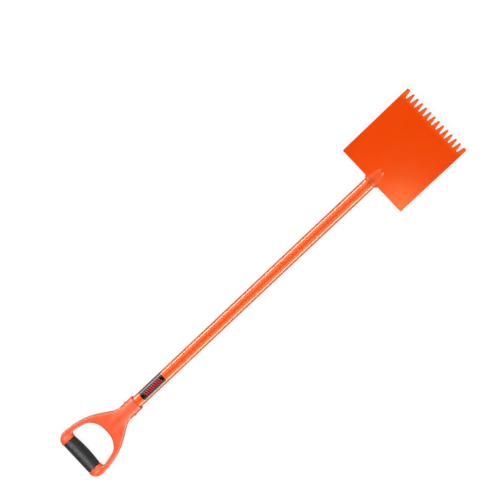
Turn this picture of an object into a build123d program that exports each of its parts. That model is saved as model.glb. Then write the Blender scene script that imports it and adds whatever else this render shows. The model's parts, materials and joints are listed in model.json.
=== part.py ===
from build123d import *
import math
import os

# Long-handled roof scraper: a toothed steel plate welded to a steel tube, with a
# moulded D-handle riveted on the far end. Millimetres.
#
# The part is drawn about the tube: X runs along the tube's centre line towards the
# teeth, Y across, Z out of the face that is up in use, and the origin is where the
# centre line meets the rear edge of the blade. The last step moves everything so
# that the origin is the bottom centre of the bounding box.

# ---- blade ----
BLADE_WIDTH = 202.0
BLADE_LENGTH = 216.7
BLADE_THICKNESS = 3.0
BLADE_TILT = 8.0            # degrees that the teeth rise from the tube's line
REAR_CORNER_RADIUS = 2.5
NOTCH_COUNT = 13
NOTCH_PITCH = 14.46
NOTCH_DEPTH = 19.7
NOTCH_MOUTH = 9.65
NOTCH_ROOT_RADIUS = 1.7
TOOTH_TIP_RADIUS = 1.6
CORNER_TOOTH_RADIUS = 3.0
BEVEL_LENGTH = 31.0
BEVEL_EDGE_THICKNESS = 1.0
NEAR = 0.1                  # how close to a line a corner has to be to lie on it

# ---- tube ----
TUBE_RADIUS = 15.875        # 1 1/4 inch tube
TUBE_WALL = 1.5
TUBE_RUN = 792.7            # from the blade's rear edge to the handle's mouth
TUBE_INSERTION = 62.0
NOSE_LENGTH = 36.3          # pressed nose that lies on the blade
NOSE_END_RADIUS = 4.6
NOSE_START = -6.0
NOSE_SIDE = ((12.0, 13.5), (24.5, 10.3))     # the nose's radius on its way to the end
NOSE_END_SLOPE = (0.62, -1)
RAMP_START = -10.0          # the nose's top is pressed flat from here on
RAMP_SLOPE = 11.5           # degrees that the flat top falls towards the teeth
HEEL_START = -18.0
HEEL_END_RADIUS = 6.0
HEEL_SIDE = (-5.0, 13.2)
HEEL_END_SLOPE = (0.35, -1)
SOLID_END = 16.0            # the bore stops this far behind the rear edge
JOINT_GAP = 0.05

# ---- welds ----
NOSE_WELD_SIZE = 2.4
NOSE_WELD_START = 1.0       # from the rear edge
SHOULDER_WELD_SIZE = 4.8

# ---- D-handle ----
# Lengths along the D are counted from the back of the grip.
HANDLE_LENGTH = 212.7
HANDLE_HALF_WIDTH = 71.2
HANDLE_CORNER = 23.0
HANDLE_SIDE = ((60, 67.3), (100, 55.5), (144, 30.1))
WEB_END = (169, 20.1)
OPENING_CORNER = 5.5
OPENING_HALF_WIDTH = 56.7
OPENING_SIDE = ((62, 53.4), (84, 47.0), (100.2, 29.9))
OPENING_END = 106.6
SOCKET_RADIUS = 20.3
SOCKET_CLEARANCE = 0.1
SOCKET_FLOOR_GAP = 1.0      # free length beyond the tube's back end
MOUTH_LIP = 0.35
MOUTH_LIP_LENGTH = 4.0
MOUTH_CHAMFER = 1.0
WEB_THICKNESS = 22.0
WEB_FILLET = 5.0
CONE_END_RADIUS = 8.0
CONE_LENGTH = 52.0
STRAIGHT_SOCKET = 46.0
BAR_LENGTH = 112.0
BAR_FILLET = 6.0
BAR_HALF_DEPTH = 18.3
BAR_HALF_HEIGHT = 16.5
CORE_RADIUS = 11.0
CORE_OVERLAP = 1.0          # how far the core runs into the bar at each end of the grip

# ---- grip sleeve ----
GRIP_LENGTH = 92.8
GRIP_SWELL = 3.0
GRIP_HEIGHT_SWELL = 1.0

# ---- rivet ----
RIVET_FROM_MOUTH = 24.7
RIVET_RADIUS = 2.5
RIVET_HEAD_RADIUS = 4.4
RIVET_HEAD_HEIGHT = 1.9
RIVET_SEAT_RADIUS = 4.7
RIVET_SEAT_DEPTH = 0.6
RIVET_CLEARANCE = 0.05

# ---- label ----
LABEL_FROM_MOUTH = 19.6
LABEL_LENGTH = 75.2
LABEL_THICKNESS = 0.15
LABEL_GAP = 0.02
LABEL_SPAN = 110.0          # degrees around the tube
LABEL_TURN = 12.0           # degrees that its middle is turned from the top towards +Y

# ---- worked out from the above ----
MOUTH_X = -TUBE_RUN
GRIP_BACK_X = MOUTH_X - HANDLE_LENGTH
BAR_X = GRIP_BACK_X + BAR_HALF_DEPTH
TUBE_BACK_X = MOUTH_X - TUBE_INSERTION
RIVET_X = MOUTH_X - RIVET_FROM_MOUTH
BIG = 1200.0                # long enough to cut right through any piece

BLADE_TOP = Plane(
    origin=(0, 0, 0),
    x_dir=(math.cos(math.radians(BLADE_TILT)), 0, math.sin(math.radians(BLADE_TILT))),
    z_dir=(-math.sin(math.radians(BLADE_TILT)), 0, math.cos(math.radians(BLADE_TILT))),
)


def half_space_below_blade():
    """Everything under the plane of the blade's top face."""
    return BLADE_TOP * Box(2 * BIG, BIG, BIG, align=(Align.CENTER, Align.CENTER, Align.MAX))


def half_space_above_blade():
    """Everything over the plane of the blade's top face."""
    return BLADE_TOP * Box(2 * BIG, BIG, BIG, align=(Align.CENTER, Align.CENTER, Align.MIN))


def notch():
    """One V notch with a round root, its mouth on the line X = BLADE_LENGTH."""
    root_x = BLADE_LENGTH - NOTCH_DEPTH + NOTCH_ROOT_RADIUS
    lead = 1.0
    flank = (NOTCH_MOUTH / 2 - NOTCH_ROOT_RADIUS) / (NOTCH_DEPTH - NOTCH_ROOT_RADIUS)
    mouth = NOTCH_MOUTH / 2 + lead * flank
    vee = make_face(
        Polyline(
            (root_x, -NOTCH_ROOT_RADIUS),
            (BLADE_LENGTH + lead, -mouth),
            (BLADE_LENGTH + lead, mouth),
            (root_x, NOTCH_ROOT_RADIUS),
            close=True,
        )
    )
    return vee + Pos(root_x, 0) * Circle(NOTCH_ROOT_RADIUS)


def tooth_corners(outline, at_sides):
    """Corners on the line of the tooth tips: the two at the blade's sides, or all the others."""
    tips = outline.vertices().filter_by_position(Axis.X, BLADE_LENGTH - NEAR, BLADE_LENGTH + NEAR)
    return [v for v in tips if (abs(v.Y) > BLADE_WIDTH / 2 - NEAR) == at_sides]


def blade():
    """Flat toothed plate, its top face on BLADE_TOP, ground to a bevel at the teeth."""
    outline = Rectangle(BLADE_LENGTH, BLADE_WIDTH, align=(Align.MIN, Align.CENTER))
    for k in range(NOTCH_COUNT):
        y = (k - (NOTCH_COUNT - 1) / 2) * NOTCH_PITCH
        outline -= Pos(0, y) * notch()
    rear = outline.vertices().filter_by_position(Axis.X, -NEAR, NEAR)
    outline = fillet(rear, REAR_CORNER_RADIUS)
    outline = fillet(tooth_corners(outline, at_sides=False), TOOTH_TIP_RADIUS)
    outline = fillet(tooth_corners(outline, at_sides=True), CORNER_TOOTH_RADIUS)
    plate = extrude(outline, amount=-BLADE_THICKNESS)
    drop = BLADE_THICKNESS - BEVEL_EDGE_THICKNESS
    bevel = make_face(
        Plane.XZ
        * Polyline(
            (BLADE_LENGTH - BEVEL_LENGTH, 0),
            (BLADE_LENGTH + BEVEL_LENGTH, 0),
            (BLADE_LENGTH + BEVEL_LENGTH, -2 * drop),
            close=True,
        )
    )
    plate -= extrude(bevel, amount=BLADE_WIDTH, both=True)
    return BLADE_TOP * plate


def tube_solid(curve):
    """Solid of revolution: the tube up to the start of the curve, then the curve to its end."""
    start = curve @ 0
    end = curve @ 1
    outline = (
        Line((TUBE_BACK_X, 0), (TUBE_BACK_X, start.Y))
        + Line((TUBE_BACK_X, start.Y), (start.X, start.Y))
        + curve
        + Line((end.X, end.Y), (end.X, 0))
        + Line((end.X, 0), (TUBE_BACK_X, 0))
    )
    return revolve(Plane.XZ * make_face(outline), Axis.X)


def nose_curve(grow=0.0):
    """Side of the pressed nose, from the full tube to its blunt end."""
    return Spline(
        (NOSE_START, TUBE_RADIUS + grow),
        *((x, radius + grow) for x, radius in NOSE_SIDE),
        (NOSE_LENGTH + grow, NOSE_END_RADIUS),
        tangents=((1, 0), NOSE_END_SLOPE),
    )


def above_ramp():
    """Everything over the flat top of the nose."""
    slope = math.radians(RAMP_SLOPE)
    ramp = Plane(
        origin=(RAMP_START, 0, TUBE_RADIUS),
        x_dir=(math.cos(slope), 0, -math.sin(slope)),
        z_dir=(math.sin(slope), 0, math.cos(slope)),
    )
    return ramp * Box(BIG, BIG, TUBE_RADIUS, align=(Align.MIN, Align.CENTER, Align.MIN))


def shaft_tube():
    """Steel tube, its upper half pressed to a flat-topped nose, its lower half closed in a heel."""
    upper = tube_solid(nose_curve())
    heel = Spline(
        (HEEL_START, TUBE_RADIUS),
        HEEL_SIDE,
        (-JOINT_GAP, HEEL_END_RADIUS),
        tangents=((1, 0), HEEL_END_SLOPE),
    )
    lower = tube_solid(heel)
    tube = ((upper & half_space_above_blade()) - above_ramp()) + (lower & half_space_below_blade())
    bore_length = -SOLID_END - TUBE_BACK_X
    bore = Pos(TUBE_BACK_X, 0, 0) * Rot(0, 90, 0) * Cylinder(
        TUBE_RADIUS - TUBE_WALL, bore_length, align=(Align.CENTER, Align.CENTER, Align.MIN)
    )
    tube -= bore
    tube -= rivet_hole()
    return tube


def nose_weld():
    """Fillet weld on the blade, round the tube's nose."""
    grown = tube_solid(nose_curve(NOSE_WELD_SIZE))
    slab = BLADE_TOP * Pos(NOSE_WELD_START, 0, 0) * Box(
        BIG, BLADE_WIDTH, NOSE_WELD_SIZE, align=(Align.MIN, Align.CENTER, Align.MIN)
    )
    return (grown - tube_solid(nose_curve())) & slab


def shoulder_welds():
    """Two fillet welds in the corners between the tube's sides and the blade's rear edge."""
    cone = make_face(
        Polyline(
            (-SHOULDER_WELD_SIZE, 0),
            (-SHOULDER_WELD_SIZE, TUBE_RADIUS),
            (-JOINT_GAP, TUBE_RADIUS + SHOULDER_WELD_SIZE),
            (-JOINT_GAP, 0),
            close=True,
        )
    )
    collar = revolve(Plane.XZ * cone, Axis.X)
    band = Box(BIG, BIG, BLADE_THICKNESS, align=(Align.CENTER, Align.CENTER, Align.MAX))
    return (collar & band) - Rot(0, 90, 0) * Cylinder(TUBE_RADIUS, BIG)


def from_back(point):
    """A point of the D-handle, counted from the back of the grip, in the tool's frame."""
    return (GRIP_BACK_X + point[0], point[1])


def handle_outline():
    """Outer edge of the D-handle seen from above, as a face."""
    corner_start = from_back((0, HANDLE_HALF_WIDTH - HANDLE_CORNER))
    corner_end = from_back((HANDLE_CORNER, HANDLE_HALF_WIDTH))
    web_end = from_back(WEB_END)
    side = (
        Line(from_back((0, 0)), corner_start)
        + RadiusArc(corner_start, corner_end, HANDLE_CORNER)
        + Spline(corner_end, *map(from_back, HANDLE_SIDE), web_end, tangents=((1, 0), (1, -0.02)))
        + Line(web_end, (web_end[0], 0))
        + Line((web_end[0], 0), from_back((0, 0)))
    )
    upper = make_face(side)
    return upper + mirror(upper, about=Plane.XZ)


def hand_opening():
    """The hole that the hand goes through, seen from above, as a face."""
    front_of_bar = 2 * BAR_HALF_DEPTH
    corner_start = from_back((front_of_bar, OPENING_HALF_WIDTH - OPENING_CORNER))
    corner_end = from_back((front_of_bar + OPENING_CORNER, OPENING_HALF_WIDTH))
    far_end = from_back((OPENING_END, 0))
    side = (
        Line(from_back((front_of_bar, 0)), corner_start)
        + RadiusArc(corner_start, corner_end, OPENING_CORNER)
        + Spline(corner_end, *map(from_back, OPENING_SIDE), far_end, tangents=((1, 0), (0, -1)))
        + Line(far_end, from_back((front_of_bar, 0)))
    )
    upper = make_face(side)
    return upper + mirror(upper, about=Plane.XZ)


def socket():
    """Round socket with a slight lip at its mouth and a cone that dies into the web."""
    cone_start = MOUTH_X - STRAIGHT_SOCKET
    tip_x = cone_start - CONE_LENGTH
    lip_radius = SOCKET_RADIUS + MOUTH_LIP
    lip_start = MOUTH_X - MOUTH_LIP_LENGTH
    lip_end = MOUTH_X - MOUTH_CHAMFER
    cone = Spline((tip_x, CONE_END_RADIUS), (cone_start, SOCKET_RADIUS), tangents=((1, 0.1), (1, 0)))
    profile = make_face(
        Line((tip_x, 0), (tip_x, CONE_END_RADIUS))
        + cone
        + Line((cone_start, SOCKET_RADIUS), (lip_start, SOCKET_RADIUS))
        + Line((lip_start, SOCKET_RADIUS), (lip_end, lip_radius))
        + Line((lip_end, lip_radius), (MOUTH_X, lip_radius - MOUTH_CHAMFER))
        + Line((MOUTH_X, lip_radius - MOUTH_CHAMFER), (MOUTH_X, 0))
        + Line((MOUTH_X, 0), (tip_x, 0))
    )
    return revolve(Plane.XZ * profile, Axis.X)


def rivet_hole():
    """Hole across the socket and the tube."""
    return Pos(RIVET_X, 0, 0) * Rot(90, 0, 0) * Cylinder(RIVET_RADIUS + RIVET_CLEARANCE, BIG / 2)


def oval_bar(swell_depth, swell_height, length):
    """Oval bar along Y whose back stays flat on GRIP_BACK_X while its front swells in the middle."""
    sections = []
    for share in (-1.0, -0.5, 0.0, 0.5, 1.0):
        swell = 1 - share * share
        depth = BAR_HALF_DEPTH + swell_depth * swell / 2
        height = BAR_HALF_HEIGHT + swell_height * swell
        place = Plane(
            origin=(GRIP_BACK_X + depth, share * length / 2, 0), x_dir=(1, 0, 0), z_dir=(0, 1, 0)
        )
        sections.append(place * Ellipse(depth, height))
    return loft(sections)


def d_handle():
    """Moulded D-handle: web and arms, socket, and the core bar inside the grip."""
    frame = handle_outline() - hand_opening()
    body = extrude(frame, amount=WEB_THICKNESS / 2, both=True)
    rims = body.edges().group_by(Axis.Z)
    body = fillet(rims[0] + rims[-1], WEB_FILLET)
    bar = oval_bar(0.0, 0.0, BAR_LENGTH)
    bar = fillet(bar.edges(), BAR_FILLET)
    handle = body + bar + socket()
    bore_depth = TUBE_INSERTION + SOCKET_FLOOR_GAP
    handle -= Pos(MOUTH_X, 0, 0) * Rot(0, 90, 0) * Cylinder(
        TUBE_RADIUS + SOCKET_CLEARANCE, bore_depth, align=(Align.CENTER, Align.CENTER, Align.MAX)
    )
    handle -= rivet_hole()
    seat_cut = 10.0
    seat_y = SOCKET_RADIUS - RIVET_SEAT_DEPTH + seat_cut / 2
    for side in (-1, 1):
        handle -= Pos(RIVET_X, side * seat_y, 0) * Rot(90, 0, 0) * Cylinder(RIVET_SEAT_RADIUS, seat_cut)
    core = Pos(BAR_X, 0, 0) * Rot(90, 0, 0) * Cylinder(CORE_RADIUS, GRIP_LENGTH + 2 * CORE_OVERLAP)
    handle -= Pos(BAR_X, 0, 0) * Box(2 * (BAR_HALF_DEPTH + GRIP_SWELL), GRIP_LENGTH, BIG)
    return handle + core


def grip_sleeve():
    """Soft sleeve moulded over the core bar, flush with the handle's back."""
    gap = 2 * JOINT_GAP
    sleeve = oval_bar(GRIP_SWELL, GRIP_HEIGHT_SWELL, GRIP_LENGTH - gap)
    return sleeve - Pos(BAR_X, 0, 0) * Rot(90, 0, 0) * Cylinder(CORE_RADIUS + JOINT_GAP, BIG)


def handle_rivet():
    """Steel rivet across the socket, with a domed head on each side."""
    seat = SOCKET_RADIUS - RIVET_SEAT_DEPTH + JOINT_GAP
    dome_radius = (RIVET_HEAD_RADIUS**2 + RIVET_HEAD_HEIGHT**2) / (2 * RIVET_HEAD_HEIGHT)
    dome = Pos(0, 0, seat + RIVET_HEAD_HEIGHT - dome_radius) * Sphere(dome_radius)
    outside = Pos(0, 0, seat) * Cylinder(
        2 * RIVET_HEAD_RADIUS, 2 * dome_radius, align=(Align.CENTER, Align.CENTER, Align.MIN)
    )
    head = dome & outside
    rivet = Cylinder(RIVET_RADIUS, 2 * seat + JOINT_GAP) + head + Rot(180, 0, 0) * head
    return Pos(RIVET_X, 0, 0) * Rot(90, 0, 0) * rivet


def label():
    """Thin printed label bent over the upper side of the tube."""
    inner = TUBE_RADIUS + LABEL_GAP
    start_x = MOUTH_X + LABEL_FROM_MOUTH
    ring = Circle(inner + LABEL_THICKNESS) - Circle(inner)
    shell = Pos(start_x, 0, 0) * Rot(0, 90, 0) * extrude(ring, amount=LABEL_LENGTH)
    reach = 3 * TUBE_RADIUS
    lead = 5.0
    first, last = (math.radians(90 - LABEL_TURN + turn * LABEL_SPAN / 2) for turn in (-1, 1))
    wedge = make_face(
        Plane.YZ
        * Polyline(
            (0, 0),
            (reach * math.cos(first), reach * math.sin(first)),
            (reach * math.cos(last), reach * math.sin(last)),
            close=True,
        )
    )
    cut = extrude(wedge, amount=LABEL_LENGTH + 2 * lead, dir=(1, 0, 0))
    return shell & Pos(start_x - lead, 0, 0) * cut


def main():
    pieces = {
        "blade": blade(),
        "shaft_tube": shaft_tube(),
        "nose_weld": nose_weld(),
        "shoulder_welds": shoulder_welds(),
        "d_handle": d_handle(),
        "grip_sleeve": grip_sleeve(),
        "handle_rivet": handle_rivet(),
        "label": label(),
    }
    boxes = [piece.bounding_box() for piece in pieces.values()]
    middle_x = (min(box.min.X for box in boxes) + max(box.max.X for box in boxes)) / 2
    to_origin = Pos(-middle_x, 0, -min(box.min.Z for box in boxes))
    os.makedirs("parts", exist_ok=True)
    for name, piece in pieces.items():
        export_step(to_origin * piece, f"parts/{name}.step")


main()
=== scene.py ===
import json
import math

import bmesh
import bpy
import numpy as np
from mathutils import Matrix, Vector


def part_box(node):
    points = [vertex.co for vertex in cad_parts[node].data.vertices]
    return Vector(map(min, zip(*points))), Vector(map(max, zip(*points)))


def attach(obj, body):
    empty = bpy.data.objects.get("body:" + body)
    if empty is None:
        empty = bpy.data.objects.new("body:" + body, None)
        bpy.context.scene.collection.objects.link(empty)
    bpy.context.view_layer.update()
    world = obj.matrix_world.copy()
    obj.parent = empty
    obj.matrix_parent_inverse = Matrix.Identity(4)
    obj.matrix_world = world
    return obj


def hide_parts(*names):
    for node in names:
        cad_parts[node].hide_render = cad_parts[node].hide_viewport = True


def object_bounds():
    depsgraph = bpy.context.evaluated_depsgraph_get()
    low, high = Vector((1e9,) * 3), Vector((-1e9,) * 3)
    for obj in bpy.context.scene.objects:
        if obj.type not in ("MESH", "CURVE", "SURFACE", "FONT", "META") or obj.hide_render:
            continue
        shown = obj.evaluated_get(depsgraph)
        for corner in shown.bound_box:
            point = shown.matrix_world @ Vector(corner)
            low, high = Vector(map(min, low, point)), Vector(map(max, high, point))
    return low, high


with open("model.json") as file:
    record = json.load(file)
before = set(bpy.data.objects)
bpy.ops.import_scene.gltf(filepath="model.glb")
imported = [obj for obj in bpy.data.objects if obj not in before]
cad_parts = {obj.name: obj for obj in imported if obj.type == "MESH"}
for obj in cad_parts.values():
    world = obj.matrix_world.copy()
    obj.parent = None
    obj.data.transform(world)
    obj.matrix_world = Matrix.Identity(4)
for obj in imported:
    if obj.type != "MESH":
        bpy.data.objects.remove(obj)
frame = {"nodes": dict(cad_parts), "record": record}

# Shapes below are drawn in millimetres in the tool's own frame: X runs along the
# tube towards the teeth, Y across, Z out of the upper face, and the origin is where
# the tube's centre line meets the blade's rear edge. to_row() turns them into the
# row frame in metres, and every size that the CAD knows is read from the frame.
MM = 0.001
cad_low, cad_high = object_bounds()
blade_low, blade_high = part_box("blade")
tube_low, tube_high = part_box("shaft_tube")
handle_low, handle_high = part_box("d_handle")
grip_low, grip_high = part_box("grip_sleeve")
label_low, label_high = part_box("label")
rivet_low, rivet_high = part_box("handle_rivet")

ORIGIN = np.array((blade_low.x, 0.0, (tube_low.z + tube_high.z) / 2))
mounts = {m["name"]: m for m in frame["record"]["mounts"]}
under = mounts["blade_underside"]["axis"]
TILT = math.atan2(under[0], -under[2])

TUBE_R = (tube_high.y - tube_low.y) / 2 / MM
BACK = (handle_low.x - ORIGIN[0]) / MM            # back face of the grip
MOUTH = (handle_high.x - ORIGIN[0]) / MM          # mouth of the socket
HANDLE_HALF = handle_high.y / MM
GRIP_HALF = grip_high.y / MM
GRIP_DEPTH = (grip_high.x - grip_low.x) / MM
GRIP_HALF_HEIGHT = (grip_high.z - grip_low.z) / 2 / MM
RIVET_X = ((rivet_low.x + rivet_high.x) / 2 - ORIGIN[0]) / MM

# D-handle. Its own X counts from the grip's back face, where BACK is.
HANDLE_END = MOUTH - BACK
OUTLINE_INSET = 0.15       # keeps the outer outline just inside the CAD's
HANDLE_CORNER = 23.0       # radius of the two back corners
SOCKET_R = 20.3
SOCKET_START = 112         # where the socket starts inside the web
SOCKET_ROOT_R = 8          # its radius at first
SOCKET_GROWS = (104, 170)  # its radius grows between these two places
SOCKET_ROUND = (168, 178)  # the web ends between these, and only the round socket is left
SOCKET_LIP = 0.35          # how much the mouth's rim stands out
SOCKET_DEPTH = 63          # how far the tube's bore reaches in
BORE_GAP = 0.1
FAR = 60                   # far enough out to leave the web uncut
WEB_HALF = 11.0            # half the web's thickness
WEB_ROUND = 6.0
BAR_HALF_DEPTH = 18.3      # of the bar that the grip sits on
BAR_HALF_HEIGHT = 16.5
BAR_HALF_LENGTH = 60       # without its soft ends
OPENING_CORNER = 5.5       # radius of the opening's corners beside the bar
OPENING_HALF = 56.7
OPENING_END = 106.6
CORE_R = 11.0              # core bar inside the grip
CORE_GAP = 0.05
GROOVE_END = 48            # the grip's groove is cut up to here
SEAT_R = 4.7               # flat seat round each rivet head
SEAT_DEPTH = 0.6

# Blade and teeth.
BLADE_HALF = blade_high.y / MM
THICKNESS = 3.0
BLADE_LENGTH = ((blade_high.x - blade_low.x) / MM - THICKNESS * math.sin(TILT)) / math.cos(TILT)
BEVEL_LENGTH = 31.0
BEVEL_DROP = 2.0
CREASE = BLADE_LENGTH - BEVEL_LENGTH
EDGE_ROUND = 0.35
REAR_CORNER = 2.5
FRONT_CORNER = 3.0
NOTCHES = 13
NOTCH_PITCH = 14.46
NOTCH_DEPTH = 19.7
NOTCH_MOUTH = 9.65
NOTCH_ROOT = 1.4           # half the notch's width at its root
NOTCH_ROUND = 1.66         # radius at the notch's root
TOOTH_ROUND = 1.6          # radius at the tooth's tip

# Tube, its pressed nose and the welds.
TUBE_BACK = (tube_low.x - ORIGIN[0]) / MM
NOSE_START = -24           # the tube is straight up to here
NOSE_TIP = (36.6, 2.7)     # end of the nose and its half width there
EDGE_FALL = 0.9            # share of its height that the nose has lost at its sides
WELD_OVERLAP = 0.25        # how deep the beads reach into the steel
NOSE_WELD_START = 0.8
WELD_SIDE = 1.1            # bead along the nose's sides
WELD_TIP = 2.4             # bead round the nose's tip
WELD_RIPPLE = 0.4
WELD_SCALES = 20           # scales in the bead, per radian round the nose
SHOULDER_WELD = 4.4
SHOULDER_RIPPLE = 0.3


def to_row(points):
    """Points in the tool's frame in millimetres, as points in the row frame in metres."""
    return np.asarray(points, float) * MM + ORIGIN


# ---------------------------------------------------------------- curves and fields


def clamped_spline(points, start, end, per_span=10):
    """Cubic spline through points with the two end directions given, as many points."""
    p = np.array(points, float)
    chord = np.linalg.norm(np.diff(p, axis=0), axis=1)
    count = len(p)
    matrix = np.zeros((count, count))
    right = np.zeros((count, 2))
    matrix[0, 0] = matrix[-1, -1] = 1
    right[0] = np.array(start) / np.linalg.norm(start)
    right[-1] = np.array(end) / np.linalg.norm(end)
    for i in range(1, count - 1):
        a, b = chord[i - 1], chord[i]
        matrix[i, i - 1:i + 2] = b, 2 * (a + b), a
        right[i] = 3 * (b * (p[i] - p[i - 1]) / a + a * (p[i + 1] - p[i]) / b)
    slope = np.linalg.solve(matrix, right)
    out = []
    for i in range(count - 1):
        t = np.linspace(0, 1, per_span, endpoint=False)[:, None]
        span = chord[i]
        h00 = 2 * t**3 - 3 * t**2 + 1
        h10 = t**3 - 2 * t**2 + t
        h01 = -2 * t**3 + 3 * t**2
        h11 = t**3 - t**2
        out.append(h00 * p[i] + h10 * span * slope[i] + h01 * p[i + 1] + h11 * span * slope[i + 1])
    out.append(p[-1:])
    return np.concatenate(out)


def arc(centre, radius, first, last, count):
    """Points on a circle's arc between two angles in degrees."""
    a = np.radians(np.linspace(first, last, count))
    return np.stack((centre[0] + radius * np.cos(a), centre[1] + radius * np.sin(a)), -1)


def mirrored(side):
    """Closed outline from its half at y >= 0, whose ends lie on y = 0."""
    other = side[::-1] * (1, -1)
    return np.concatenate((side, other[1:-1]))


def outline_distance(x, y, outline):
    """Signed distance in the plane to a closed outline, negative inside."""
    x, y = np.broadcast_arrays(x, y)
    best = np.full(x.shape, 1e9)
    inside = np.zeros(x.shape, bool)
    for (ax, ay), (bx, by) in zip(outline, np.roll(outline, -1, axis=0)):
        ex, ey = bx - ax, by - ay
        length2 = ex * ex + ey * ey
        if length2 < 1e-12:
            continue
        t = np.clip(((x - ax) * ex + (y - ay) * ey) / length2, 0, 1)
        best = np.minimum(best, (x - ax - t * ex) ** 2 + (y - ay - t * ey) ** 2)
        if ay != by:
            crosses = (ay > y) != (by > y)
            inside ^= crosses & (x < ax + (y - ay) / (by - ay) * ex)
    return np.where(inside, -1, 1) * np.sqrt(best)


def smooth_union(a, b, radius):
    """Union of two fields with a soft blend where they meet."""
    h = np.maximum(radius - np.abs(a - b), 0) / radius
    return np.minimum(a, b) - h * h * radius / 4


def smooth_both(a, b, radius):
    """Intersection of two fields with a soft edge."""
    return -smooth_union(-a, -b, radius)


def rounded_slab(flat, z, half, radius):
    """Field of an outline given by its flat distance, thickened to half each way, edges rounded."""
    across = flat + radius
    up = np.abs(z) - (half - radius)
    outer = np.sqrt(np.maximum(across, 0) ** 2 + np.maximum(up, 0) ** 2)
    return outer + np.minimum(np.maximum(across, up), 0) - radius


def ellipse_field(a, b, half_a, half_b):
    """Near-distance to an ellipse with the given half axes."""
    k0 = np.sqrt((a / half_a) ** 2 + (b / half_b) ** 2)
    k1 = np.sqrt((a / half_a**2) ** 2 + (b / half_b**2) ** 2)
    return k0 * (k0 - 1) / np.maximum(k1, 1e-6)


def step_up(x, low, high):
    """0 below low, 1 above high, smooth between."""
    t = np.clip((x - low) / (high - low), 0, 1)
    return t * t * (3 - 2 * t)


def ticks(low, high, step):
    """Evenly spaced grid lines that reach from below low to above high."""
    return np.arange(low - step / 2, high + step, step)


def surface_net(field, *axes):
    """Vertices and quads of the surface where field(x, y, z) is zero, on the given grid."""
    x, y, z = np.meshgrid(*axes, indexing="ij", sparse=True)
    value = np.broadcast_to(field(x, y, z), [len(a) for a in axes])
    cells = [len(a) - 1 for a in axes]
    total = np.zeros((*cells, 3))
    hits = np.zeros(cells)
    quads = []
    for axis in range(3):
        lower = [slice(None)] * 3
        upper = [slice(None)] * 3
        lower[axis] = slice(0, -1)
        upper[axis] = slice(1, None)
        a, b = value[tuple(lower)], value[tuple(upper)]
        cross = (a < 0) != (b < 0)
        at = np.argwhere(cross)
        va, vb = a[cross], b[cross]
        point = np.stack([axes[i][at[:, i]] for i in range(3)], -1)
        point[:, axis] += va / (va - vb) * np.diff(axes[axis])[at[:, axis]]
        first, second = [i for i in range(3) if i != axis]
        if axis == 1:
            first, second = second, first
        corners = []
        for da, db in ((0, 0), (-1, 0), (-1, -1), (0, -1)):
            cell = at.copy()
            cell[:, first] += da
            cell[:, second] += db
            corners.append(cell)
            key = tuple(cell.T)
            np.add.at(total, key, point)
            np.add.at(hits, key, 1)
        quads.append((np.stack(corners, 1), va > vb))
    used = hits > 0
    index = np.full(cells, -1)
    index[used] = np.arange(used.sum())
    vertices = total[used] / hits[used][:, None]
    faces = []
    for corners, flip in quads:
        ids = index[corners[..., 0], corners[..., 1], corners[..., 2]]
        ids[flip] = ids[flip][:, ::-1]
        faces.append(ids)
    faces = np.concatenate(faces)
    finest = min(np.diff(a).min() for a in axes)
    for _ in range(3):
        vertices = settle(field, vertices, finest)
    return vertices, faces


def settle(field, v, step):
    """One Newton step that brings points onto the surface, never further than half a cell."""
    e = step * 0.1
    x, y, z = v.T
    slope = np.stack(
        (
            field(x + e, y, z) - field(x - e, y, z),
            field(x, y + e, z) - field(x, y - e, z),
            field(x, y, z + e) - field(x, y, z - e),
        ),
        -1,
    ) / (2 * e)
    norm2 = np.maximum((slope**2).sum(-1), 0.05)
    move = -(field(x, y, z) / norm2)[:, None] * slope
    length = np.linalg.norm(move, axis=1, keepdims=True)
    return v + move * np.minimum(1, step / 2 / np.maximum(length, 1e-9))


# ---------------------------------------------------------------- objects


def add_piece(name, vertices, faces, smooth=True):
    """New mesh object from points in the tool's frame."""
    mesh = bpy.data.meshes.new(name)
    mesh.from_pydata(to_row(vertices).tolist(), [], [list(map(int, f)) for f in faces])
    mesh.validate()
    work = bmesh.new()
    work.from_mesh(mesh)
    bmesh.ops.recalc_face_normals(work, faces=work.faces)
    work.to_mesh(mesh)
    work.free()
    mesh.polygons.foreach_set("use_smooth", [smooth] * len(mesh.polygons))
    piece = bpy.data.objects.new(name, mesh)
    bpy.context.scene.collection.objects.link(piece)
    return piece


def finish_piece(piece, material, slot, *nodes):
    """Material, body and the CAD nodes that the piece stands for. The slot argument is not used."""
    piece.data.materials.clear()
    piece.data.materials.append(material)
    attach(piece, "root")
    if nodes:
        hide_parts(*nodes)
    return piece


# ---------------------------------------------------------------- D-handle


def handle_side():
    """Half of the D-handle's outer outline, x counted from the grip's back face."""
    half = HANDLE_HALF - OUTLINE_INSET
    back_corner = arc((HANDLE_CORNER, half - HANDLE_CORNER), HANDLE_CORNER, 180, 90, 12)
    neck = SOCKET_R - 0.2
    flank = clamped_spline(
        ((HANDLE_CORNER, half), (60, 67.1), (100, 55.3), (144, 30.0), (169, neck)),
        (1, 0),
        (1, -0.02),
    )
    past_end = HANDLE_END + 20
    tail = np.array(((past_end, neck), (past_end, 0)))
    return np.concatenate((np.array(((0, 0),)), back_corner, flank[1:], tail))


def opening_side():
    """Half of the hand opening's outline."""
    front = 2 * BAR_HALF_DEPTH
    turn = front + OPENING_CORNER
    corner = arc((turn, OPENING_HALF - OPENING_CORNER), OPENING_CORNER, 180, 90, 6)
    flank = clamped_spline(
        ((turn, OPENING_HALF), (62, 53.4), (84, 47.0), (100.2, 29.9), (OPENING_END, 0)),
        (1, 0),
        (0, -1),
    )
    return np.concatenate((np.array(((front, 0),)), corner, flank[1:]))


OUTER = mirrored(handle_side())
OPENING = mirrored(opening_side())


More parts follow.
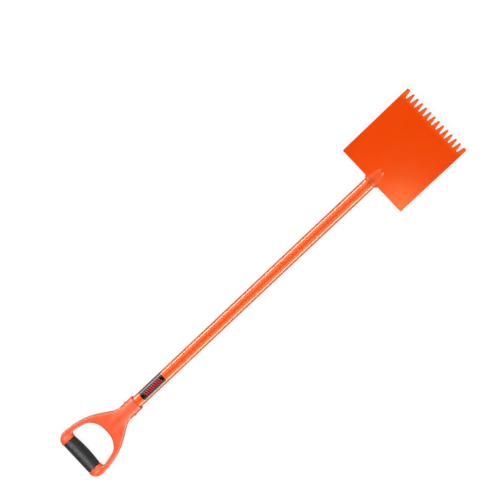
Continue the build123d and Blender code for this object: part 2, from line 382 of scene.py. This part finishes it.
def handle_field(x, y, z):
    """The moulded D-handle, x counted from the grip's back face.

    The last number of each smooth union or intersection is the size of its blend.
    """
    edge = outline_distance(x, y, OUTER)
    hole = outline_distance(x, y, OPENING)
    web = rounded_slab(np.maximum(edge, -hole), z, WEB_HALF, WEB_ROUND)
    bar = ellipse_field(x - BAR_HALF_DEPTH, z, BAR_HALF_DEPTH, BAR_HALF_HEIGHT)
    bar = smooth_both(bar, np.abs(y) - BAR_HALF_LENGTH, 12)
    body = smooth_union(web, bar, 4)

    # The socket grows out of the web as a cone and ends as a cylinder.
    around = np.sqrt(y * y + z * z)
    neck = SOCKET_ROOT_R + (SOCKET_R - SOCKET_ROOT_R) * step_up(x, *SOCKET_GROWS)
    socket = smooth_both((around - neck) * 0.93, SOCKET_START - x, 10)
    body = smooth_union(body, socket, 9)
    envelope = rounded_slab(edge, z, BAR_HALF_HEIGHT + 12 * step_up(x, 100, 150), 12)
    body = np.maximum(body, envelope)

    # Near its mouth it is cut round, with a raised rim.
    rim = SOCKET_R + SOCKET_LIP * step_up(x, HANDLE_END - 5, HANDLE_END - 2)
    still_web = FAR * (1 - step_up(x, *SOCKET_ROUND))
    body = smooth_both(body, around - rim - still_web, 0.5)
    body = smooth_both(body, x - HANDLE_END, 2.0)

    # Tube bore, seats for the rivet's heads and the groove that holds the grip.
    bore = np.maximum(around - (TUBE_R + BORE_GAP), HANDLE_END - SOCKET_DEPTH - x)
    body = smooth_both(body, -bore, 1.0)
    seat = np.sqrt((x - (RIVET_X - BACK)) ** 2 + z * z) - SEAT_R
    seat = np.maximum(seat, SOCKET_R - SEAT_DEPTH - np.abs(y))
    body = smooth_both(body, -seat, 0.4)
    groove = np.maximum(np.abs(y) - GRIP_HALF, x - GROOVE_END)
    core = np.sqrt((x - BAR_HALF_DEPTH) ** 2 + z * z) - CORE_R
    groove = np.maximum(groove, -core)
    return smooth_both(body, -groove, 1.2)


def make_handle():
    step = 0.8
    vertices, faces = surface_net(
        handle_field,
        ticks(-2, HANDLE_END + 2, step),
        ticks(-HANDLE_HALF - 2, HANDLE_HALF + 2, step),
        ticks(-22, 22, step),
    )
    vertices[:, 0] += BACK
    return add_piece("moulded_d_handle", vertices, faces)


# ---------------------------------------------------------------- grip sleeve


def grip_field(x, y, z):
    """Soft sleeve: flush back, swelling front, soft ends. x counted from the grip's back face."""
    share = np.clip(np.abs(y) / GRIP_HALF, 0, 1)
    swell = 1 - share * share
    depth = BAR_HALF_DEPTH + (GRIP_DEPTH / 2 - BAR_HALF_DEPTH) * swell
    height = BAR_HALF_HEIGHT + (GRIP_HALF_HEIGHT - BAR_HALF_HEIGHT) * swell
    oval = ellipse_field(x - depth, z, depth, height)
    sleeve = smooth_both(oval, np.abs(y) - GRIP_HALF, 1.6)
    core = np.sqrt((x - BAR_HALF_DEPTH) ** 2 + z * z) - CORE_R - CORE_GAP
    return smooth_both(sleeve, -core, 0.4)


def make_grip():
    step = 0.75
    vertices, faces = surface_net(
        grip_field,
        ticks(-1, GRIP_DEPTH + 1, step),
        ticks(-GRIP_HALF - 1, GRIP_HALF + 1, step),
        ticks(-GRIP_HALF_HEIGHT - 1, GRIP_HALF_HEIGHT + 1, step),
    )
    vertices[:, 0] += BACK
    return add_piece("soft_grip", vertices, faces)


# ---------------------------------------------------------------- blade


def on_blade(points):
    """Points on the blade (along it, across, above its upper face), in the tool's frame."""
    along, across, above = np.asarray(points, float).T
    x = along * math.cos(TILT) - above * math.sin(TILT)
    z = along * math.sin(TILT) + above * math.cos(TILT)
    return np.stack((x, across, z), -1)


def rounded_corners(corners, count=6):
    """Closed outline through corners (x, y, radius), each replaced by an arc of its radius."""
    out = []
    for k, (x, y, radius) in enumerate(corners):
        here = np.array((x, y))
        if radius == 0:
            out.append(here[None])
            continue
        before = np.array(corners[k - 1][:2]) - here
        after = np.array(corners[(k + 1) % len(corners)][:2]) - here
        before /= np.linalg.norm(before)
        after /= np.linalg.norm(after)
        half = math.acos(np.dot(before, after)) / 2
        middle = (before + after) / np.linalg.norm(before + after)
        centre = here + middle * radius / math.sin(half)
        start = here + before * radius / math.tan(half) - centre
        end = here + after * radius / math.tan(half) - centre
        first = math.atan2(start[1], start[0])
        sweep = (math.atan2(end[1], end[0]) - first + math.pi) % (2 * math.pi) - math.pi
        out.append(arc(centre, radius, math.degrees(first), math.degrees(first + sweep), count))
    return np.concatenate(out)


def blade_outline():
    """Toothed outline, counter-clockwise, with a point where the bevel starts on each side."""
    root = BLADE_LENGTH - NOTCH_DEPTH
    corners = [(0, BLADE_HALF, REAR_CORNER), (0, -BLADE_HALF, REAR_CORNER)]
    corners.append((CREASE, -BLADE_HALF, 0))
    corners.append((BLADE_LENGTH, -BLADE_HALF, FRONT_CORNER))
    for k in range(NOTCHES):
        y = (k - (NOTCHES - 1) / 2) * NOTCH_PITCH
        corners.append((BLADE_LENGTH, y - NOTCH_MOUTH / 2, TOOTH_ROUND))
        corners.append((root, y - NOTCH_ROOT, NOTCH_ROUND))
        corners.append((root, y + NOTCH_ROOT, NOTCH_ROUND))
        corners.append((BLADE_LENGTH, y + NOTCH_MOUTH / 2, TOOTH_ROUND))
    corners.append((BLADE_LENGTH, BLADE_HALF, FRONT_CORNER))
    corners.append((CREASE, BLADE_HALF, 0))
    return rounded_corners(corners)


def shrunk(outline, inset):
    """The outline moved inwards by a small inset."""
    ahead = np.roll(outline, -1, axis=0) - outline
    ahead /= np.linalg.norm(ahead, axis=1, keepdims=True)
    inward = np.stack((-ahead[:, 1], ahead[:, 0]), -1)
    middle = inward + np.roll(inward, 1, axis=0)
    share = inset / (0.5 * (middle**2).sum(-1, keepdims=True))
    return outline + middle * share


def make_blade():
    """Plate with rounded edges, ground to a bevel behind the teeth."""
    outline = blade_outline()
    count = len(outline)
    upper = -np.maximum(outline[:, 0] - CREASE, 0) * BEVEL_DROP / BEVEL_LENGTH
    lower = np.full(count, -THICKNESS)
    turns = np.radians(np.linspace(90, 0, 5))
    loops = []
    for turn in turns:
        flat = shrunk(outline, EDGE_ROUND * (1 - math.cos(turn)))
        loops.append(np.column_stack((flat, lower + EDGE_ROUND * (1 - math.sin(turn)))))
    for turn in turns[::-1]:
        flat = shrunk(outline, EDGE_ROUND * (1 - math.cos(turn)))
        loops.append(np.column_stack((flat, upper - EDGE_ROUND * (1 - math.sin(turn)))))
    faces = []
    for k in range(len(loops) - 1):
        for i in range(count):
            j = (i + 1) % count
            this, following = k * count, (k + 1) * count
            faces.append((this + i, this + j, following + j, following + i))

    # The upper side is two flat faces that meet at the crease, the lower side is one.
    top = (len(loops) - 1) * count
    first, last = np.flatnonzero(np.abs(outline[:, 0] - CREASE) < 1e-6)
    front = np.arange(first, last + 1)
    rear = np.concatenate((np.arange(last, count), np.arange(0, first + 1)))
    flats = [np.arange(count)[::-1], top + rear, top + front]
    piece = add_piece("toothed_blade", on_blade(np.concatenate(loops)), faces + flats)
    for polygon in piece.data.polygons[-len(flats):]:
        polygon.use_smooth = False
    return piece


# ---------------------------------------------------------------- tube


def revolved_outline(side):
    """Lengthwise section of a round piece whose radius follows side, from the tube's back end."""
    ends = np.array(((TUBE_BACK, 0), (TUBE_BACK, TUBE_R)))
    return mirrored(np.concatenate((ends, side, ((side[-1, 0], 0),))))


# Against the place along the tube: half width of the closed heel under the blade,
# height of the nose along its middle, and half width of the nose.
HEEL = revolved_outline(clamped_spline(((-18, TUBE_R), (-5, 13.2), (-0.1, 6)), (1, 0), (0.35, -1)))
RAMP = clamped_spline(
    ((-12, TUBE_R + 1.2), (-6, 14.4), (0, 11.0), (6, 8.2), (12, 6.8), (20, 6.3), (37, 6.5)),
    (1, -0.1),
    (1, 0),
)
NOSE_WIDTH = clamped_spline(
    ((-6, TUBE_R), (7, 13.8), (17, 11.2), (28, 7.7), NOSE_TIP), (1, 0), (0.75, -1)
)
NOSE = revolved_outline(NOSE_WIDTH)


def nose_field(x, y, z):
    """Tube over the blade, its top pressed down to a low rounded ramp."""
    around = np.sqrt(y * y + z * z)
    tube = outline_distance(x, around, NOSE)
    top = np.interp(x, RAMP[:, 0], RAMP[:, 1], left=RAMP[0, 1] + TUBE_R)
    half = np.interp(x, NOSE_WIDTH[:, 0], NOSE_WIDTH[:, 1])
    plate = np.maximum(x, 0) * math.tan(TILT)
    share = EDGE_FALL * step_up(x, -14, -2)
    ramp = top - share * (top - plate) * (y / half) ** 2
    return smooth_both(tube, z - ramp, 2.0)


def tube_field(x, y, z):
    """Steel tube: its upper half runs onto the blade, its lower half closes behind it."""
    above = -x * math.sin(TILT) + z * math.cos(TILT)
    around = np.sqrt(y * y + z * z)
    heel = outline_distance(x, around, HEEL)
    share = step_up(above, -0.8, 0.2)
    return heel + (nose_field(x, y, z) - heel) * share


def make_tube():
    step = 0.7
    straight = np.arange(TUBE_BACK - 1, NOSE_START, 16.0)
    pressed = np.arange(NOSE_START, 42, step)
    across = ticks(-TUBE_R - 1, TUBE_R + 1, step)
    vertices, faces = surface_net(tube_field, np.concatenate((straight, pressed)), across, across)
    return add_piece("pressed_tube", vertices, faces)


# ---------------------------------------------------------------- welds


def nose_weld_field(x, y, z):
    """Scaly fillet weld between the nose and the blade's upper face."""
    along = x * math.cos(TILT) + z * math.sin(TILT)
    above = -x * math.sin(TILT) + z * math.cos(TILT)
    off_tube = nose_field(x, y, z)
    angle = np.arctan2(y, along - 10)
    size = WELD_SIDE + (WELD_TIP - WELD_SIDE) * step_up(along, 18, 29)
    size = size + WELD_RIPPLE * np.abs(np.sin(WELD_SCALES / 2 * angle))
    bead = np.sqrt(np.maximum(off_tube, 0) ** 2 + np.maximum(above, 0) ** 2) - size
    bead = np.maximum(bead, -WELD_OVERLAP - np.minimum(off_tube, above))
    return smooth_both(bead, NOSE_WELD_START - along, 1.5)


def shoulder_weld_field(x, y, z):
    """Fillet welds between the tube's sides and the blade's rear edge."""
    above = -x * math.sin(TILT) + z * math.cos(TILT)
    off_tube = np.sqrt(y * y + z * z) - TUBE_R
    behind = -x
    size = SHOULDER_WELD + SHOULDER_RIPPLE * np.sin(2.1 * above)
    bead = np.sqrt(np.maximum(off_tube, 0) ** 2 + np.maximum(behind, 0) ** 2) - size
    bead = np.maximum(bead, -WELD_OVERLAP - np.minimum(off_tube, behind))
    return smooth_both(bead, np.abs(above + THICKNESS / 2) - THICKNESS / 2, 1.2)


def make_nose_weld():
    step = 0.4
    vertices, faces = surface_net(
        nose_weld_field, ticks(-1, 43, step), ticks(-20, 20, step), ticks(-1, 14, step)
    )
    return add_piece("nose_weld_bead", vertices, faces)


def make_shoulder_welds():
    step = 0.3
    vertices, faces = surface_net(
        shoulder_weld_field, ticks(-6, 1, step), ticks(-22, 22, step), ticks(-5, 2, step)
    )
    return add_piece("shoulder_weld_beads", vertices, faces)


# ---------------------------------------------------------------- materials


class Finish:
    """A material being put together from nodes. Sizes are in millimetres on the tool."""

    def __init__(self, name):
        self.material = bpy.data.materials.new(name)
        self.material.use_nodes = True
        self.tree = self.material.node_tree
        self.shader = self.tree.nodes["Principled BSDF"]
        self.place = self.node("ShaderNodeTexCoord").outputs["Object"]

    def node(self, kind, inputs=None, **settings):
        made = self.tree.nodes.new(kind)
        for key, value in settings.items():
            setattr(made, key, value)
        for key, value in (inputs or {}).items():
            self.feed(made.inputs[key], value)
        return made

    def feed(self, socket, value):
        if isinstance(value, bpy.types.NodeSocket):
            self.tree.links.new(value, socket)
        else:
            socket.default_value = value

    def set(self, **inputs):
        for key, value in inputs.items():
            self.feed(self.shader.inputs[key.replace("_", " ")], value)

    def noise(self, size, detail=2.0, stretch=(1, 1, 1)):
        """Noise whose features are about size across, drawn out by stretch."""
        place = self.node("ShaderNodeVectorMath", {0: self.place, 1: stretch}, operation="MULTIPLY")
        noise = self.node(
            "ShaderNodeTexNoise",
            {"Vector": place.outputs[0], "Scale": 1 / (size * MM), "Detail": detail},
        )
        return noise.outputs["Fac"]

    def math(self, operation, a, b=0.0):
        return self.node("ShaderNodeMath", {0: a, 1: b}, operation=operation).outputs[0]

    def spread(self, value, low, high, first=0.3, last=0.7):
        """Turns value's range first..last into low..high."""
        ranged = self.node(
            "ShaderNodeMapRange",
            {"Value": value, "From Min": first, "From Max": last, "To Min": low, "To Max": high},
        )
        return ranged.outputs["Result"]

    def mix(self, share, a, b, blend="MIX"):
        mixed = self.node("ShaderNodeMix", data_type="RGBA", blend_type=blend)
        self.feed(mixed.inputs[0], share)
        self.feed(mixed.inputs[6], a)
        self.feed(mixed.inputs[7], b)
        return mixed.outputs[2]

    def dim(self, color, factor):
        """The colour made lighter or darker by a factor."""
        grey = self.node("ShaderNodeCombineColor", {0: factor, 1: factor, 2: factor})
        return self.mix(1.0, color, grey.outputs[0], "MULTIPLY")

    def bump(self, height, depth, normal=None):
        inputs = {"Height": height, "Distance": depth * MM, "Strength": 1.0}
        if normal is not None:
            inputs["Normal"] = normal
        return self.node("ShaderNodeBump", inputs).outputs["Normal"]

    def edges(self, radius):
        """1 along sharp edges, 0 away from them."""
        rounded = self.node("ShaderNodeBevel", {"Radius": radius * MM}, samples=6).outputs["Normal"]
        true = self.node("ShaderNodeNewGeometry").outputs["Normal"]
        along = self.node("ShaderNodeVectorMath", {0: rounded, 1: true}, operation="DOT_PRODUCT")
        return self.spread(along.outputs["Value"], 1.0, 0.0, 0.86, 0.99)


# Linear colours.
# The plate's orange is the tube's powder coat made darker, a painted shade.
PLATE_SHADED_ORANGE = (0.775, 0.054, 0.0008, 1)
# Painted shade: a darker, browner orange for the pressed nose and the welds, where the surface
# slopes away from the light.
NOSE_SHADE_ORANGE = (0.80, 0.085, 0.010, 1)
# Paler orange for the teeth: partly wear, partly a painted highlight of the light that the ground
# bevel catches.
TOOTH_WEAR_AND_HIGHLIGHT_ORANGE = (0.80, 0.105, 0.012, 1)
TUBE_ORANGE = (0.95, 0.080, 0.0012, 1)
# Painted shade: darker orange for the dark rims along the plate's sharp edges.
EDGE_SHADE_ORANGE = (0.50, 0.060, 0.010, 1)
PLASTIC_ORANGE = (0.92, 0.100, 0.034, 1)
RUBBER_BLACK = (0.012, 0.012, 0.0125, 1)
LABEL_BLACK = (0.006, 0.005, 0.005, 1)
LABEL_RED = (0.55, 0.035, 0.036, 1)
GLOSS_TINT = (1.0, 0.90, 0.60, 1)
PLATE_TINT = (1.0, 0.85, 0.36, 1)
PAINT_IOR = 1.8

# Millimetres.
PALE_FROM = CREASE                   # the paint turns paler from here towards the teeth, partly wear and partly a painted highlight
PALE_TO = BLADE_LENGTH - 15
TUBE_DULL_AND_SHADE = (-8, 1)                  # the tube's paint turns dull and darker between these two places; the darker colour is a painted shade
BEAD_DULL = (33, 26)                 # the weld's paint is shiny at its tip only
GRIP_GRAIN = 1.1
BAR_PITCH = 6.3                      # printed bars on the label
BAR_SHARE = 0.62
BAR_SLANT = 0.35
BARS_OFFSET = 1.2
BARS_HALF_HEIGHT = 5.6
BARS_HALF_LENGTH = 28.4


def powder_coat(name, base, gloss, tint, toothed=False, dull=None):
    """Orange powder coat with a fine orange-peel surface.

    On the toothed plate it is darker on sharp edges, a painted shade for their dark rims, and
    paler on the teeth, partly wear and partly a painted highlight. It turns duller and darker,
    the darker colour a painted shade, between the two places given by dull, lengthwise from the
    blade's rear edge.
    """
    f = Finish(name)
    mottled = f.spread(f.noise(90, 3), 0.97, 1.03)
    color = f.dim(base, mottled)
    along = f.node("ShaderNodeSeparateXYZ", {0: f.place}).outputs["X"]
    along = f.math("SUBTRACT", along, float(ORIGIN[0]))
    if toothed:
        # Paler towards the teeth: partly wear, partly a painted highlight of the light on the
        # ground bevel.
        teeth = f.spread(along, 0.0, 1.0, PALE_FROM * MM, PALE_TO * MM)
        color = f.mix(teeth, color, f.dim(TOOTH_WEAR_AND_HIGHLIGHT_ORANGE, mottled))
        # Painted shade: darker in patches along the sharp edges, standing in for their dark rims.
        edge_shade = f.math("MULTIPLY", f.edges(0.9), f.spread(f.noise(3), 0.35, 0.9))
        color = f.mix(edge_shade, color, EDGE_SHADE_ORANGE)
    peel = f.bump(f.noise(5, 1), 0.010)
    speck = f.bump(f.noise(1.6, 1), 0.002, peel)
    roughness = f.spread(f.noise(14, 3), 0.19, 0.25)
    if dull:
        # Towards the dull end the colour also turns to the darker nose orange, a painted shade.
        share = f.spread(along, 0.0, 1.0, dull[0] * MM, dull[1] * MM)
        color = f.mix(share, color, NOSE_SHADE_ORANGE)
        roughness = f.math("ADD", roughness, f.math("MULTIPLY", share, 0.25))
        gloss = f.math("SUBTRACT", gloss, f.math("MULTIPLY", share, 0.8 * gloss))
    f.set(Base_Color=color, Roughness=roughness, Normal=speck)
    f.set(Specular_Tint=tint, Specular_IOR_Level=gloss, IOR=PAINT_IOR)
    return f.material


def moulded_plastic():
    """Satin orange plastic with a fine spark-eroded grain, flow marks and a parting line."""
    f = Finish("moulded_orange_plastic")
    color = f.dim(PLASTIC_ORANGE, f.spread(f.noise(40, 3, (0.4, 1, 1)), 0.95, 1.05))
    height = f.node("ShaderNodeSeparateXYZ", {0: f.place}).outputs["Z"]
    off_middle = f.math("ABSOLUTE", f.math("SUBTRACT", height, float(ORIGIN[2])))
    parting = f.spread(off_middle, 1.0, 0.0, 0.1 * MM, 0.35 * MM)
    grain = f.bump(f.noise(0.8, 2), 0.010)
    waves = f.bump(f.noise(18, 2), 0.10, grain)
    line = f.bump(parting, 0.08, waves)
    f.set(Base_Color=color, Roughness=f.spread(f.noise(7, 3), 0.40, 0.50), Normal=line)
    f.set(Specular_Tint=GLOSS_TINT, Specular_IOR_Level=1.0)
    return f.material


def grip_rubber():
    """Matt black rubber with a fine grain that catches the light unevenly."""
    f = Finish("soft_black_rubber")
    color = f.dim(RUBBER_BLACK, f.spread(f.noise(12, 3), 0.8, 1.2))
    cells = f.node("ShaderNodeTexVoronoi", {"Vector": f.place, "Scale": 1 / (GRIP_GRAIN * MM)})
    grain = f.bump(cells.outputs["Distance"], 0.05)
    fine = f.bump(f.noise(0.5, 2), 0.02, grain)
    f.set(Base_Color=color, Roughness=f.spread(f.noise(9, 3), 0.42, 0.52), Normal=fine)
    return f.material


def label_film():
    """Glossy black film with evenly spaced slanted red bars."""
    f = Finish("printed_label_film")
    xyz = f.node("ShaderNodeSeparateXYZ", {0: f.place}).outputs
    height = f.math("SUBTRACT", xyz["Z"], float(ORIGIN[2]))
    round_tube = f.math("MULTIPLY", f.math("ARCTAN2", xyz["Y"], height), TUBE_R * MM)
    middle = float(label_low.x + label_high.x) / 2
    along = f.math("SUBTRACT", xyz["X"], middle)
    off_bars = f.math("SUBTRACT", round_tube, BARS_OFFSET * MM)
    slanted = f.math("ADD", along, f.math("MULTIPLY", round_tube, BAR_SLANT))
    stripe = f.math("FRACT", f.math("DIVIDE", slanted, BAR_PITCH * MM))
    bar = f.math("LESS_THAN", stripe, BAR_SHARE)
    in_height = f.math("LESS_THAN", f.math("ABSOLUTE", off_bars), BARS_HALF_HEIGHT * MM)
    in_length = f.math("LESS_THAN", f.math("ABSOLUTE", slanted), BARS_HALF_LENGTH * MM)
    mark = f.math("MULTIPLY", bar, f.math("MULTIPLY", in_height, in_length))
    ink = f.dim(LABEL_RED, f.spread(f.noise(2), 0.9, 1.1))
    film = f.dim(LABEL_BLACK, f.spread(f.noise(5), 0.8, 1.3))
    wrinkle = f.bump(f.noise(9, 2), 0.02)
    print_edge = f.bump(mark, 0.01, wrinkle)
    roughness = f.spread(f.noise(4), 0.16, 0.24)
    f.set(Base_Color=f.mix(mark, film, ink), Roughness=roughness, Normal=print_edge)
    f.set(Coat_Weight=0.5, Coat_Roughness=0.12)
    return f.material


paint = powder_coat("orange_powder_coat", TUBE_ORANGE, 0.75, GLOSS_TINT, dull=TUBE_DULL_AND_SHADE)
# The welds are coloured all over in the darker nose orange, a painted shade.
bead_paint = powder_coat(
    "orange_powder_coat_on_welds", NOSE_SHADE_ORANGE, 1.0, GLOSS_TINT, dull=BEAD_DULL
)
# The plate takes the darker copy of the tube's orange, a painted shade.
blade_paint = powder_coat(
    "orange_powder_coat_on_plate", PLATE_SHADED_ORANGE, 0.1, PLATE_TINT, toothed=True
)
film = label_film()
blade_piece = finish_piece(make_blade(), blade_paint, "painted_steel", "blade")
finish_piece(make_tube(), paint, "painted_steel", "shaft_tube")
finish_piece(make_nose_weld(), bead_paint, "painted_steel", "nose_weld")
finish_piece(make_shoulder_welds(), bead_paint, "painted_steel", "shoulder_welds")
finish_piece(make_handle(), moulded_plastic(), "orange_plastic", "d_handle")
grip_piece = finish_piece(make_grip(), grip_rubber(), "grip_rubber", "grip_sleeve")
for name, material in (("handle_rivet", paint), ("label", film)):
    part = frame["nodes"][name]
    part.data.materials.clear()
    part.data.materials.append(material)

# ---------------------------------------------------------------- floor, light, camera


def area_light(name, place, target, size_x, size_y, power, glossy=True, diffuse=True):
    """Rectangular soft light at place, facing target, its long side along the tool."""
    data = bpy.data.lights.new(name, "AREA")
    data.shape = "RECTANGLE"
    data.size = size_x
    data.size_y = size_y
    data.energy = power
    light = bpy.data.objects.new(name, data)
    facing = (Vector(place) - Vector(target)).normalized()
    side = (Vector((1, 0, 0)) - facing * facing.x).normalized()
    up = facing.cross(side)
    turned = Matrix((side, up, facing)).transposed().to_4x4()
    light.matrix_world = Matrix.Translation(place) @ turned
    light.visible_camera = False
    light.visible_glossy = glossy
    light.visible_diffuse = diffuse
    bpy.context.scene.collection.objects.link(light)
    return light


def light_only(light, piece):
    """Lets a light fall on one piece and nothing else."""
    lit = bpy.data.collections.new(light.name + "_receivers")
    lit.objects.link(piece)
    light.light_linking.receiver_collection = lit


def pale_floor():
    """White studio table: white to the camera, dimmer in reflections, grey in what it bounces."""
    f = Finish("pale_floor")
    path = f.node("ShaderNodeLightPath").outputs
    paper = f.spread(f.noise(300, 2), 0.985, 1.0)
    white = f.dim((0.16, 0.16, 0.16, 1), paper)
    grey = (0.12, 0.12, 0.12, 1)
    shine = f.math("MULTIPLY", path["Is Glossy Ray"], 0.45)
    f.set(Base_Color=f.mix(path["Is Camera Ray"], grey, white), Roughness=0.9)
    glow = f.math("ADD", shine, f.math("MULTIPLY", path["Is Camera Ray"], 0.86))
    f.set(Emission_Color=(1, 1, 1, 1), Emission_Strength=glow)
    return f.material


FLOOR_REACH = 12.0         # metres from the middle to each side
FLOOR_GAP = 0.001
floor_mesh = bpy.data.meshes.new("floor")
floor_corners = [
    (-FLOOR_REACH, -FLOOR_REACH, 0),
    (FLOOR_REACH, -FLOOR_REACH, 0),
    (FLOOR_REACH, FLOOR_REACH, 0),
    (-FLOOR_REACH, FLOOR_REACH, 0),
]
floor_mesh.from_pydata(floor_corners, [], [(0, 1, 2, 3)])
floor = bpy.data.objects.new("floor", floor_mesh)
floor.location.z = cad_low.z - FLOOR_GAP
bpy.context.scene.collection.objects.link(floor)
floor_mesh.materials.append(pale_floor())

# Each light: place, the point it faces, length and width in metres, power in watts.
# The overhead sheets leave no reflection, and the other lights show only in reflections.
MIDDLE = (0.0, 0.0, 0.0)
for side, name in ((1, "left"), (-1, "right")):
    overhead = (-0.1, side * 1.0, 2.1)
    low_strip = (0.0, side * 1.4, 0.26)
    high_panel = (0.0, side * 1.2, 1.05)
    area_light("overhead_" + name, overhead, (-0.1, 0, 0), 3.0, 0.9, 43, glossy=False)
    area_light("low_strip_" + name, low_strip, MIDDLE, 3.6, 0.42, 45, diffuse=False)
    area_light("high_panel_" + name, high_panel, MIDDLE, 3.2, 0.6, 8, diffuse=False)
glow_place = (0.092, -0.2, 0.58)
glow = area_light("plate_glow", glow_place, (0.39, -0.1, 0), 0.3, 0.3, 4.7, diffuse=False)
light_only(glow, blade_piece)
sheen_place = (-1.1, 0.0, 1.8)
sheen = area_light("grip_sheen", sheen_place, (-0.5, 0, 0), 1.3, 1.3, 34.0, diffuse=False)
light_only(sheen, grip_piece)

# The surroundings are white to the camera and almost dark to everything else.
world = bpy.data.worlds.new("studio")
bpy.context.scene.world = world
world.use_nodes = True
sky_nodes = world.node_tree.nodes
sky = sky_nodes["Background"]
sky.inputs["Color"].default_value = (1, 1, 1, 1)
ray = sky_nodes.new("ShaderNodeLightPath")
level = sky_nodes.new("ShaderNodeMapRange")
level.inputs["To Min"].default_value = 0.04
level.inputs["To Max"].default_value = 1.0
world.node_tree.links.new(ray.outputs["Is Camera Ray"], level.inputs["Value"])
world.node_tree.links.new(level.outputs["Result"], sky.inputs["Strength"])

# The camera looks down on the lying tool with the blade end a little nearer to it.
ROLL = math.radians(43.295)
LEAN = math.radians(9.2)
DISTANCE = 4.0
FIELD = 1.2145                 # metres across the picture at the aim point
FOCAL = DISTANCE / FIELD       # focal length in picture widths
AIM = Vector((0.0152, 0.0, float(ORIGIN[2])))
AIM_OFFSET = (0.015, -0.0772)  # aim point's place right and up from the centre, in widths

along = Vector((math.cos(LEAN), 0, -math.sin(LEAN)))
across = Vector((0, 1, 0))
towards = Vector((math.sin(LEAN), 0, math.cos(LEAN)))
right = along * math.cos(ROLL) - across * math.sin(ROLL)
up = along * math.sin(ROLL) + across * math.cos(ROLL)
yaw = math.atan2(AIM_OFFSET[0], FOCAL)
pitch = math.atan2(AIM_OFFSET[1], FOCAL)
basis = Matrix((right, up, towards)).transposed()
turn = Matrix.Rotation(yaw, 3, "Y") @ Matrix.Rotation(-pitch, 3, "X")
camera_data = bpy.data.cameras.new("camera")
camera_data.sensor_width = 36.0
camera_data.lens = FOCAL * camera_data.sensor_width
camera = bpy.data.objects.new("camera", camera_data)
camera.matrix_world = Matrix.Translation(AIM + towards * DISTANCE) @ (basis @ turn).to_4x4()
bpy.context.scene.collection.objects.link(camera)
bpy.context.scene.camera = camera
bpy.context.scene.view_settings.view_transform = "Standard"
